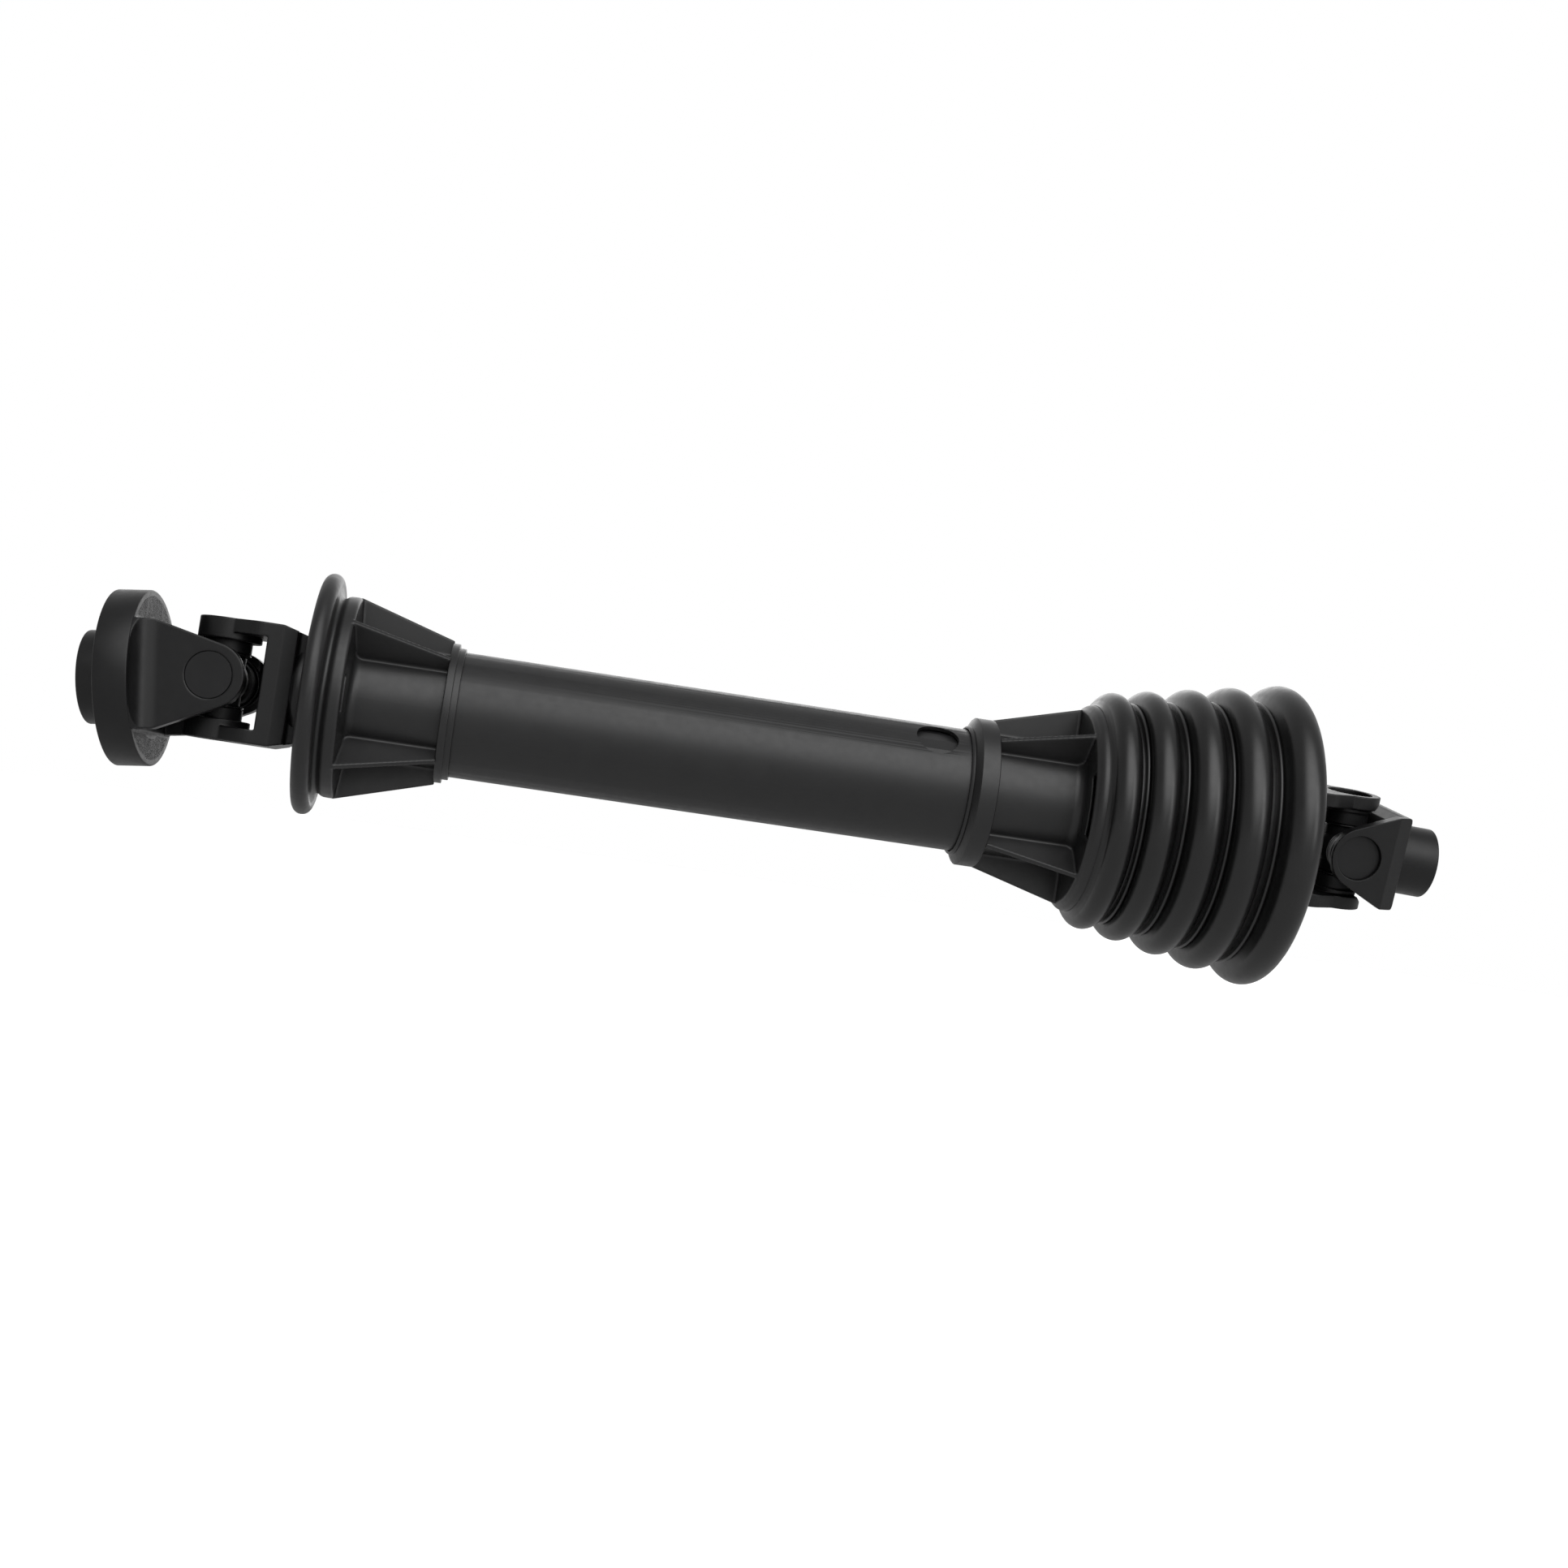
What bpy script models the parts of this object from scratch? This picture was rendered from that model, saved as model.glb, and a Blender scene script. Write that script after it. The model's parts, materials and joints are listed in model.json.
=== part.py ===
"""A guarded universal joint drive shaft of a farm machine, in metres, +Z up.

The shaft lies along X. Its left end is a clutch yoke with a roller overrunning clutch, its right end a plain
splined yoke. Between them are two universal joints, two telescoping profile tubes, and a plastic guard in two
halves: a tube and a cone at the left, a sliding tube, a cone and a bellows at the right. The origin is the middle
of the box that holds the whole shaft, on the axis of the tubes. The left joint rests bent.
"""

import math

import bmesh
import bpy
from mathutils import Euler, Matrix, Vector

MM = 0.001
GAP = 0.3 * MM  # between neighbouring pieces

# The joints
JOINT_SPACING = 773 * MM
LEFT_SWING = math.radians(-7.2)  # rest angle of the left cross about its upright pin
LEFT_TILT = math.radians(-7.0)  # rest angle of the clutch yoke about the other pin
RIGHT_PHASE = math.radians(10.5)  # the right joint's pins are turned this far about the shaft
END_TILT = math.radians(2.0)  # rest angle of the end yoke about its own pin

# Yoke ears, bearing cups and crosses
EAR_OUTER = 40 * MM  # from the joint centre to an ear's outer face
EAR_INNER = 30.7 * MM
EAR_RADIUS = 21 * MM  # rounded end of an ear
EAR_LEAD = 1.9 * MM  # how far the rounded end's centre lies off the pin, towards the right, on the two end yokes
BOSS_RADIUS = 17 * MM
BOSS_INNER = 27 * MM
CUP_RADIUS = 15.1 * MM
CUP_BORE = 9.8 * MM
CUP_START = 18.2 * MM
CUP_FLOOR = 32.0 * MM
CLIP_THICKNESS = 1.6 * MM
CLIP_RADIUS = 16.3 * MM
CLIP_BORE = 11.5 * MM
TRUNNION_RADIUS = 9.5 * MM
TRUNNION_END = 31.7 * MM
SHOULDER_RADIUS = 12.5 * MM
SHOULDER_END = 16.5 * MM

# Tube yokes
WEB_INNER = 27 * MM  # from the joint centre to the web
WEB_OUTER = 45.8 * MM
WEB_HALF_WIDTH = 29.5 * MM
WEB_BEVEL_START = 37 * MM
WEB_CORNER = 9 * MM
TUBE_HUB_RADIUS = 31 * MM
TUBE_HUB_END = 108 * MM
BEARING_START = 78 * MM  # groove that the guard's bearing ring runs in
BEARING_END = 87 * MM
BEARING_GROOVE_RADIUS = 28 * MM
TUBE_SEAT = 62 * MM  # the drive tube reaches this near to the joint centre
ROLL_PIN_X = 99 * MM
ROLL_PIN_RADIUS = 4.5 * MM

# Drive tubes, three lobes each
LOBE_RADIUS = 24.5 * MM
LOBE_DEPTH = 5 * MM
DRIVE_WALL = 3.2 * MM
DRIVE_CLEARANCE = 0.5 * MM
OUTER_DRIVE_END = 480 * MM  # from the left joint centre
INNER_DRIVE_END = 136 * MM  # from the left joint centre, shaft closed

# End yoke
END_EAR_REACH = 22.7 * MM  # where the ears' flanks meet the web
END_WEB_INNER = 23 * MM
END_WEB_OUTER = 34 * MM
END_WEB_HALF_WIDTH = 33 * MM
END_HALF_HEIGHT = 31.3 * MM
END_HUB_RADIUS = 23.5 * MM
END_HUB_END = 63.5 * MM
SPLINE_MAJOR = 17.45 * MM
SPLINE_MINOR = 14.9 * MM
SPLINE_HALF_WIDTH = 4.35 * MM
LOCK_X = 48 * MM
LOCK_BOSS_RADIUS = 9 * MM
LOCK_BOSS_END = 33 * MM
LOCK_RADIUS = 4.5 * MM

# Clutch yoke and its overrunning clutch
CLUTCH_ROOT_X = -35.5 * MM
CLUTCH_ROOT_HALF = 35.5 * MM
CLUTCH_FACE = -47 * MM
CLUTCH_BACK = -69.3 * MM
CLUTCH_RADIUS = 57.5 * MM
CLUTCH_FILLET = 15 * MM
CAVITY_FLOOR = -51.5 * MM
CAVITY_MOUTH = -65 * MM
COVER_SEAT_RADIUS = 50 * MM
CLUTCH_HUB_RADIUS = 31 * MM
CLUTCH_HUB_END = -88.5 * MM
RACE_RADIUS = 36 * MM
ROLLER_RADIUS = 4 * MM
ROLLER_ORBIT = RACE_RADIUS + ROLLER_RADIUS + GAP
ROLLER_COUNT = 6

# Guard
GUARD_RADIUS = 42 * MM
GUARD_WALL = 2.6 * MM
INNER_GUARD_RADIUS = 38.6 * MM
FIN_ANGLES = (45, 90, 135, 225, 270, 315)  # degrees from -Y towards +Z
FIN_THICKNESS = 3.2 * MM
TUBE_SOCKET = 147 * MM
GUARD_TUBE_END = 493 * MM  # from the left joint centre
HOLE_X = 473.5 * MM
HOLE_ANGLE = 50
HOLE_RADIUS = 14 * MM
INNER_GUARD_START = 196 * MM  # from the left joint centre, shaft closed
INNER_GUARD_END = 76 * MM  # before the right joint centre
BELLOWS_WALL = 2.6 * MM
BELLOWS_LOBES = (  # place before the right joint centre, outer radius, roundness, in mm
    (177.5, 82.4, 7.5),
    (153, 87.1, 8.5),
    (124, 92.8, 9.5),
    (95, 98.6, 10),
    (61, 105.3, 12),
)
BELLOWS_VALLEYS = ((165.5, 74), (139.5, 79), (110.5, 83.5), (79.5, 89))

GUARD_STEPS = 40
LOBE_STEPS = 30
HUB_STEPS = 28
BORE_STEPS = 16


def reach(end, radius, swing, tilt):
    """How far along the shaft the rim of a round end lies from its joint centre, when its yoke is bent."""
    turn = Matrix.Rotation(swing, 3, "Z") @ Matrix.Rotation(tilt, 3, "Y")
    angles = [2 * math.pi * step / HUB_STEPS for step in range(HUB_STEPS)]
    along = Vector(turn[0])
    return max(abs(along.dot((end, radius * math.cos(a), radius * math.sin(a)))) for a in angles)


HUB_CHAMFER = 1.2 * MM
LEFT_REACH = reach(CLUTCH_HUB_END, CLUTCH_HUB_RADIUS - HUB_CHAMFER, LEFT_SWING, LEFT_TILT)
RIGHT_REACH = reach(END_HUB_END, END_HUB_RADIUS - HUB_CHAMFER, 0, END_TILT)
LEFT_X = (LEFT_REACH - RIGHT_REACH - JOINT_SPACING) / 2
RIGHT_X = LEFT_X + JOINT_SPACING


# ---------------------------------------------------------------- tools


def clear_scene():
    for thing in list(bpy.data.objects):
        bpy.data.objects.remove(thing, do_unlink=True)


def material(name, colour, roughness, metallic):
    made = bpy.data.materials.new(name)
    made.use_nodes = True
    shader = made.node_tree.nodes["Principled BSDF"]
    shader.inputs["Base Color"].default_value = (*colour, 1)
    shader.inputs["Roughness"].default_value = roughness
    shader.inputs["Metallic"].default_value = metallic
    return made


def empty(name, location=(0, 0, 0), turn=(0, 0, 0), parent=None):
    """An empty that other objects are placed from. Its turn is about x, then y, then z."""
    made = bpy.data.objects.new(name, None)
    bpy.context.scene.collection.objects.link(made)
    made.location = location
    made.rotation_euler = Euler(turn, "XYZ")
    made.parent = parent
    return made


def add(name, shape, surface=None, parent=None, location=(0, 0, 0), turn=(0, 0, 0)):
    """Make an object of a bmesh. One with no surface is a cutter or a shape to join on."""
    bmesh.ops.recalc_face_normals(shape, faces=shape.faces)
    mesh = bpy.data.meshes.new(name)
    shape.to_mesh(mesh)
    shape.free()
    mesh.shade_smooth()
    mesh.set_sharp_from_angle(angle=math.radians(32))
    made = bpy.data.objects.new(name, mesh)
    bpy.context.scene.collection.objects.link(made)
    made.parent = parent
    made.location = location
    made.rotation_euler = Euler(turn, "XYZ")
    if surface is None:
        made.hide_render = True
        made.display_type = "WIRE"
    else:
        mesh.materials.append(surface)
    return made


def boolean(target, operation, *shapes):
    for shape in shapes:
        name = f"{target.name}_{operation.lower()}_{len(target.modifiers)}"
        helper = add(name, shape, None, target.parent, target.location, target.rotation_euler)
        step = target.modifiers.new(name, "BOOLEAN")
        step.operation = operation
        step.object = helper
        step.solver = "EXACT"


def cut(target, *shapes):
    boolean(target, "DIFFERENCE", *shapes)


def join(target, *shapes):
    boolean(target, "UNION", *shapes)


def turned(outline, steps=HUB_STEPS, axis="x", phase=0.0):
    """A closed outline of (along, radius) points, turned about an axis through the origin."""
    shape = bmesh.new()
    rings = []
    for along, radius in outline:
        circle = []
        for step in range(steps if radius else 0):
            angle = 2 * math.pi * (step + phase) / steps
            across = (radius * math.cos(angle), radius * math.sin(angle))
            places = {"x": (along, *across), "y": (across[1], along, across[0]), "z": (*across, along)}
            circle.append(shape.verts.new(places[axis]))
        rings.append(circle)
    for here, there in zip(rings, rings[1:] + rings[:1]):
        if here and there:
            for step in range(steps):
                after = (step + 1) % steps
                shape.faces.new([here[step], here[after], there[after], there[step]])
        elif here or there:
            shape.faces.new(here or there)
    return shape


def rod(start, end, radius, steps=BORE_STEPS, axis="x", phase=0.0):
    return turned([(start, 0), (start, radius), (end, radius), (end, 0)], steps, axis, phase)


def ring(start, end, inner, outer, steps=BORE_STEPS, axis="x"):
    return turned([(start, inner), (start, outer), (end, outer), (end, inner)], steps, axis)


def prism(outline, start, end, axis="y"):
    """A flat outline pushed out along an axis. The outline is (x, z) for y, (x, y) for z and (y, z) for x."""
    place = {"y": lambda a, b, c: (a, c, b), "z": lambda a, b, c: (a, b, c), "x": lambda a, b, c: (c, a, b)}[axis]
    shape = bmesh.new()
    low = [shape.verts.new(place(a, b, start)) for a, b in outline]
    high = [shape.verts.new(place(a, b, end)) for a, b in outline]
    shape.faces.new(low)
    shape.faces.new(high[::-1])
    for here in range(len(outline)):
        after = (here + 1) % len(outline)
        shape.faces.new([low[here], low[after], high[after], high[here]])
    return shape


def block(low, high):
    return prism([(low[0], low[2]), (high[0], low[2]), (high[0], high[2]), (low[0], high[2])], low[1], high[1])


def arc(centre, radius, start, end, steps):
    """Points along an arc, angles in degrees."""
    angles = [math.radians(start + (end - start) * step / steps) for step in range(steps + 1)]
    return [(centre[0] + radius * math.cos(a), centre[1] + radius * math.sin(a)) for a in angles]


def turned_about_x(shape, degrees):
    bmesh.ops.rotate(shape, matrix=Matrix.Rotation(math.radians(degrees), 3, "X"), verts=shape.verts)
    return shape


def hollow_prism(outer, inner, start, end):
    """A tube along x between two outlines with the same number of points."""
    shape = bmesh.new()
    loops = [[shape.verts.new((x, y, z)) for y, z in outline]
             for x, outline in ((start, outer), (end, outer), (end, inner), (start, inner))]
    for here, there in zip(loops, loops[1:] + loops[:1]):
        for step in range(len(outer)):
            after = (step + 1) % len(outer)
            shape.faces.new([here[step], here[after], there[after], there[step]])
    return shape


# ---------------------------------------------------------------- yokes


def ear_outline(centre_x, root_x, root_half):
    """Side view of an ear: a round end about a point near the pin, and flanks that widen to a root."""
    side = -1 if root_x < 0 else 1
    away = math.hypot(root_x - centre_x, root_half)
    tangent = math.degrees(math.atan2(root_half, abs(root_x - centre_x)) + math.acos(EAR_RADIUS / away))
    spread = 180 - tangent
    points = arc((0, 0), EAR_RADIUS, -spread, spread, 14)
    tip = [(centre_x - side * x, z) for x, z in points]
    return tip + [(root_x, root_half), (root_x, -root_half)]


def spline_outline():
    """The six-splined bore."""
    points = []
    wide = math.degrees(math.asin(SPLINE_HALF_WIDTH / SPLINE_MAJOR))
    narrow = math.degrees(math.asin(SPLINE_HALF_WIDTH / SPLINE_MINOR))
    for middle in range(0, 360, 60):
        points += arc((0, 0), SPLINE_MAJOR, middle - wide, middle + wide, 2)
        points += arc((0, 0), SPLINE_MINOR, middle + narrow, middle + 60 - narrow, 2)
    return points


def finish_ears(yoke, axis, clip_depth, tip):
    """Bosses inside both ears, the bores for the bearing cups, the grooves for the circlips, and bevelled tips."""
    for side in (-1, 1):
        join(yoke, rod(side * BOSS_INNER, side * (EAR_INNER + 2 * MM), BOSS_RADIUS, BORE_STEPS, axis))
    cut(yoke, rod(-EAR_OUTER - MM, EAR_OUTER + MM, CUP_RADIUS + GAP, BORE_STEPS, axis))
    top = EAR_OUTER - clip_depth + GAP
    for side in (-1, 1):
        cut(yoke, rod(side * (top - CLIP_THICKNESS - 2 * GAP), side * top, CLIP_RADIUS + GAP, BORE_STEPS, axis))
    sign = 1 if tip > 0 else -1
    for side in (-1, 1):
        bevel = [(tip - sign * 7.2 * MM, side * (EAR_INNER - 0.01 * MM)), (tip + sign * 2 * MM, side * (EAR_INNER - 0.01 * MM)),
                 (tip + sign * 2 * MM, side * (EAR_INNER + 7.4 * MM))]
        cut(yoke, prism(bevel, -40 * MM, 40 * MM, {"z": "y", "y": "z"}[axis]))


def tube_yoke(name, surface, parent, socket):
    """Ears up and down about the joint centre, web and hub towards +x."""
    upper = [(-EAR_RADIUS - MM, EAR_OUTER)]
    upper += arc((WEB_BEVEL_START - WEB_CORNER + 2.5 * MM, EAR_OUTER - WEB_CORNER), WEB_CORNER, 90, 15, 5)
    upper += [(WEB_OUTER, EAR_OUTER - WEB_CORNER - 3 * MM)]
    yoke = add(name, prism(upper + [(x, -z) for x, z in reversed(upper)], -WEB_HALF_WIDTH, WEB_HALF_WIDTH), surface, parent)
    flank = [(8 * MM, EAR_RADIUS), (22 * MM, WEB_HALF_WIDTH), (WEB_BEVEL_START, WEB_HALF_WIDTH),
             (WEB_OUTER + MM, WEB_HALF_WIDTH - 2 * MM)]
    plan = [(x, -y) for x, y in reversed(flank)] + arc((0, 0), EAR_RADIUS, 270, 90, 14) + flank
    boolean(yoke, "INTERSECT", prism(plan, -EAR_OUTER - MM, EAR_OUTER + MM, "z"))
    cut(yoke, block((-30 * MM, -EAR_OUTER, -EAR_INNER), (WEB_INNER, EAR_OUTER, EAR_INNER)))
    finish_ears(yoke, "z", 3.6 * MM, -EAR_RADIUS)
    hub = [(WEB_INNER + 9 * MM, 0), (WEB_INNER + 9 * MM, 22 * MM), (WEB_OUTER - 1.5 * MM, TUBE_HUB_RADIUS - 4 * MM),
           (WEB_OUTER + 2 * MM, TUBE_HUB_RADIUS), (BEARING_START, TUBE_HUB_RADIUS), (BEARING_START, BEARING_GROOVE_RADIUS),
           (BEARING_END, BEARING_GROOVE_RADIUS), (BEARING_END, TUBE_HUB_RADIUS), (TUBE_HUB_END - MM, TUBE_HUB_RADIUS),
           (TUBE_HUB_END, TUBE_HUB_RADIUS - MM), (TUBE_HUB_END, 0)]
    join(yoke, turned(hub))
    cut(yoke, prism(socket, TUBE_SEAT - GAP, TUBE_HUB_END + MM, "x"))
    hole = rod(-TUBE_HUB_RADIUS - MM, TUBE_HUB_RADIUS + MM, ROLL_PIN_RADIUS + GAP, 16, "y", 0.4)
    bmesh.ops.translate(hole, vec=(ROLL_PIN_X, 0, 0), verts=hole.verts)
    cut(yoke, hole)
    return yoke


def end_yoke(surface, parent):
    """Ears front and back about the joint centre, web and splined hub towards +x, a boss for the locking pin."""
    side = ear_outline(EAR_LEAD, END_EAR_REACH, END_HALF_HEIGHT)[:-2]
    side += [(END_EAR_REACH, END_HALF_HEIGHT), (END_WEB_OUTER, END_HALF_HEIGHT), (END_WEB_OUTER, -END_HALF_HEIGHT),
             (END_EAR_REACH, -END_HALF_HEIGHT)]
    yoke = add("end_yoke", prism(side, -EAR_OUTER, EAR_OUTER), surface, parent)
    flank = [(-30 * MM, EAR_OUTER + MM), (END_EAR_REACH - MM, EAR_OUTER + MM), (END_WEB_OUTER + MM, END_WEB_HALF_WIDTH)]
    boolean(yoke, "INTERSECT", prism(flank + [(x, -y) for x, y in reversed(flank)], -60 * MM, 60 * MM, "z"))
    bevel = 4.3 * MM
    window = [(-40 * MM, END_HALF_HEIGHT + 20 * MM), (END_WEB_INNER + bevel + MM, END_HALF_HEIGHT + 20 * MM),
              (END_WEB_INNER + bevel + MM, END_HALF_HEIGHT + MM), (END_WEB_INNER, END_HALF_HEIGHT - bevel)]
    window += [(x, -z) for x, z in reversed(window)]
    cut(yoke, prism(window, -EAR_INNER, EAR_INNER))
    finish_ears(yoke, "y", 3.6 * MM, EAR_LEAD - EAR_RADIUS)
    hub = [(END_WEB_OUTER - 5 * MM, 0), (END_WEB_OUTER - 5 * MM, END_HUB_RADIUS), (END_HUB_END - HUB_CHAMFER, END_HUB_RADIUS),
           (END_HUB_END, END_HUB_RADIUS - HUB_CHAMFER), (END_HUB_END, 0)]
    join(yoke, turned(hub))
    boss = rod(12 * MM, LOCK_BOSS_END, LOCK_BOSS_RADIUS, 18, "y", 0.4)
    hole = rod(0, LOCK_BOSS_END + MM, LOCK_RADIUS + GAP, 16, "y", 0.4)
    for shape in (boss, hole):
        bmesh.ops.translate(shape, vec=(LOCK_X, 0, 0), verts=shape.verts)
    join(yoke, boss)
    cut(yoke, prism(spline_outline(), 20 * MM, 70 * MM, "x"), hole)
    return yoke


def clutch_housing(surface, parent):
    """Ears front and back about the joint centre, and a round housing towards -x with six roller pockets."""
    side = ear_outline(EAR_LEAD, CLUTCH_ROOT_X, CLUTCH_ROOT_HALF)[:-2]
    side += [(CLUTCH_ROOT_X, CLUTCH_ROOT_HALF), (CLUTCH_FACE - 4 * MM, CLUTCH_ROOT_HALF),
             (CLUTCH_FACE - 4 * MM, -CLUTCH_ROOT_HALF), (CLUTCH_ROOT_X, -CLUTCH_ROOT_HALF)]
    flare = CLUTCH_FACE + CLUTCH_FILLET
    housing = add("clutch_housing", prism(side, -EAR_OUTER - CLUTCH_FILLET, EAR_OUTER + CLUTCH_FILLET), surface, parent)
    curve = arc((flare, EAR_OUTER + CLUTCH_FILLET), CLUTCH_FILLET, 270, 186, 5)
    half = [(30 * MM, EAR_OUTER)] + [(x, min(y, 44 * MM)) for x, y in curve] + [(CLUTCH_FACE - 5 * MM, 44 * MM)]
    boolean(housing, "INTERSECT", prism(half + [(x, -y) for x, y in reversed(half)], -60 * MM, 60 * MM, "z"))
    cut(housing, block((CLUTCH_FACE + GAP, -EAR_INNER, -60 * MM), (40 * MM, EAR_INNER, 60 * MM)))
    finish_ears(housing, "y", 1.8 * MM, EAR_LEAD + EAR_RADIUS)
    disc = [(CLUTCH_FACE, 0), (CLUTCH_FACE, CLUTCH_RADIUS - 1.5 * MM), (CLUTCH_FACE - 1.5 * MM, CLUTCH_RADIUS),
            (CLUTCH_BACK + 1.5 * MM, CLUTCH_RADIUS), (CLUTCH_BACK, CLUTCH_RADIUS - 1.5 * MM),
            (CLUTCH_BACK, COVER_SEAT_RADIUS), (CLUTCH_BACK + 0.8 * MM, COVER_SEAT_RADIUS),
            (CLUTCH_BACK + 0.8 * MM, COVER_SEAT_RADIUS + 2 * MM), (CLUTCH_BACK + 2.6 * MM, COVER_SEAT_RADIUS + 2 * MM),
            (CLUTCH_BACK + 2.6 * MM, COVER_SEAT_RADIUS), (CAVITY_MOUTH, COVER_SEAT_RADIUS),
            (CAVITY_MOUTH, RACE_RADIUS + GAP), (CAVITY_FLOOR, RACE_RADIUS + GAP), (CAVITY_FLOOR, 0)]
    join(housing, turned(disc, GUARD_STEPS))
    for number in range(ROLLER_COUNT):
        pocket = block((CAVITY_FLOOR, -5 * MM, RACE_RADIUS - 4 * MM), (CAVITY_MOUTH - MM, 14 * MM, ROLLER_ORBIT + 4.6 * MM))
        cut(housing, turned_about_x(pocket, 60 * number))
    return housing


# ---------------------------------------------------------------- universal joints


def bearing_set(side, number, axis, flip, parent, steel, spring, rubber, clip_depth):
    """The cup, circlip and seal on one end of a cross. Flip is 1 or -1 along the axis."""
    clip_top = EAR_OUTER - clip_depth
    cup_end = clip_top - CLIP_THICKNESS - GAP
    cup = [(CUP_START, CUP_BORE), (CUP_START, CUP_RADIUS), (cup_end, CUP_RADIUS)]
    if clip_depth < 2 * MM:
        cup += [(cup_end, CLIP_BORE - GAP), (clip_top, CLIP_BORE - GAP), (clip_top, 0)]
    else:
        cup += [(cup_end, 0)]
    cup += [(CUP_FLOOR, 0), (CUP_FLOOR, CUP_BORE)]
    turn = {"z": (0, 0 if flip > 0 else math.pi, 0), "y": (-flip * math.pi / 2, 0, 0)}[axis]
    add(f"{side}_cup_{number}", turned(cup, BORE_STEPS, "z"), steel, parent, turn=turn)
    add(f"{side}_circlip_{number}", ring(clip_top - CLIP_THICKNESS, clip_top, CLIP_BORE, CLIP_RADIUS, BORE_STEPS, "z"),
        spring, parent, turn=turn)
    add(f"{side}_seal_{number}", ring(SHOULDER_END + GAP, CUP_START - GAP, TRUNNION_RADIUS + 0.7 * MM, CUP_RADIUS - MM, 12, "z"),
        rubber, parent, turn=turn)


def cross(name, surface, parent):
    arms = [(-TRUNNION_END, 0), (-TRUNNION_END, TRUNNION_RADIUS - MM), (MM - TRUNNION_END, TRUNNION_RADIUS),
            (-SHOULDER_END, TRUNNION_RADIUS), (-SHOULDER_END, SHOULDER_RADIUS)]
    arms += [(-x, r) for x, r in reversed(arms)]
    made = add(name, turned(arms, BORE_STEPS, "z"), surface, parent)
    join(made, turned(arms, BORE_STEPS, "y", 0.3))
    return made


# ---------------------------------------------------------------- guard


def fins(guard, wall_x, wall_radius, end_x, end_radius, body_radius):
    for angle in FIN_ANGLES:
        inner = body_radius - 1.2 * MM
        outline = [(wall_x, inner), (wall_x, wall_radius), (end_x, end_radius), (end_x, inner)]
        fin = prism(outline, -FIN_THICKNESS / 2, FIN_THICKNESS / 2)
        join(guard, turned_about_x(fin, 90 - angle))


def wall_slot(guard, start, end, inner, outer, half_angle):
    """A curved slot through a guard's wall, on the side of -Y."""
    outline = arc((0, 0), outer, 180 - half_angle, 180 + half_angle, 5)
    outline += arc((0, 0), inner, 180 + half_angle, 180 - half_angle, 5)
    cut(guard, prism(outline, start, end, "x"))


def left_guard_cone(surface):
    def at(x, radius):
        return (LEFT_X + x * MM, radius * MM)

    body = 37.8
    inner = body - 2.6
    outline = arc(at(61.4, 74.2), 6.2 * MM, 235, -55, 12)
    outline += [at(66, 64), at(69.3, 66.8), at(79.8, 66.8), at(81.5, 65.3), at(81.5, 42.5), at(83, 39.2), at(86.5, body),
                at(145.3, body), at(145.3, 46.6), at(149, 46.6), at(149, 44), at(153.7, 44), at(153.7, 42.3), at(146.5, 42.3),
                at(146.5, inner), at(82, inner), at(79.4, 37.5), at(78.8, 41), at(78.8, 63), at(69.3, 63.4), at(64.5, 61)]
    guard = add("left_guard_cone", turned(outline, GUARD_STEPS), surface)
    fins(guard, LEFT_X + 80.5 * MM, 66.2 * MM, LEFT_X + 145.8 * MM, 48.2 * MM, body * MM)
    wall_slot(guard, LEFT_X + 76 * MM, LEFT_X + 84 * MM, 52 * MM, 61 * MM, 12)
    return guard


def right_guard_cone(surface):
    def at(before, radius):
        return (RIGHT_X - before * MM, radius * MM)

    body = 40.8
    outline = [at(275.7, 44), at(272.5, 50.8), at(267, 51.2), at(266, 48.2), at(265, 50.4), at(258.4, 50.4), at(258.4, body),
               at(201, body), at(198, 42.5), at(197, 46), at(197, 68.4), at(186.4, 73.4), at(186.4, 70.2), at(194.2, 66),
               at(194.2, 45), at(196, 38.9), at(271, 38.9), at(275.7, 41.5)]
    guard = add("right_guard_cone", turned(outline, GUARD_STEPS), surface)
    fins(guard, RIGHT_X - 196 * MM, 67.6 * MM, RIGHT_X - 259 * MM, 49.8 * MM, body * MM)
    wall_slot(guard, RIGHT_X - 200 * MM, RIGHT_X - 192 * MM, 58.8 * MM, 64.5 * MM, 20)
    return guard


def bellows(surface):
    outer = [(RIGHT_X - 186.1 * MM, 73.4 * MM)]
    for number, (before, radius, round_off) in enumerate(BELLOWS_LOBES):
        last = number == len(BELLOWS_LOBES) - 1
        outer += arc((RIGHT_X - before * MM, (radius - round_off) * MM), round_off * MM, 165, -20 if last else 15, 4)
        if not last:
            before, radius = BELLOWS_VALLEYS[number]
            outer.append((RIGHT_X - before * MM, radius * MM))
    outer.append((RIGHT_X - 51 * MM, 80 * MM))
    inner = [(RIGHT_X - 54.5 * MM, 80 * MM)]
    for number, (before, radius, round_off) in reversed(list(enumerate(BELLOWS_LOBES))):
        thin = (round_off - BELLOWS_WALL / MM) * MM
        inner += arc((RIGHT_X - before * MM, (radius - round_off) * MM), thin, 15, 165, 2)
        if number:
            before, radius = BELLOWS_VALLEYS[number - 1]
            inner.append((RIGHT_X - before * MM, radius * MM - 1.3 * BELLOWS_WALL))
    inner.append((RIGHT_X - 186.1 * MM, 70.2 * MM))
    return add("bellows", turned(outer + inner, GUARD_STEPS), surface)


# ---------------------------------------------------------------- drive tubes


def lobed(radius, turn=0.0):
    """The three-lobed outline of a drive tube, its first lobe turned from +z."""
    points = []
    for step in range(LOBE_STEPS):
        angle = 2 * math.pi * step / LOBE_STEPS
        out = radius - LOBE_DEPTH * (1 - math.cos(3 * angle)) / 2
        points.append((-out * math.sin(angle + turn), out * math.cos(angle + turn)))
    return points


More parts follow.
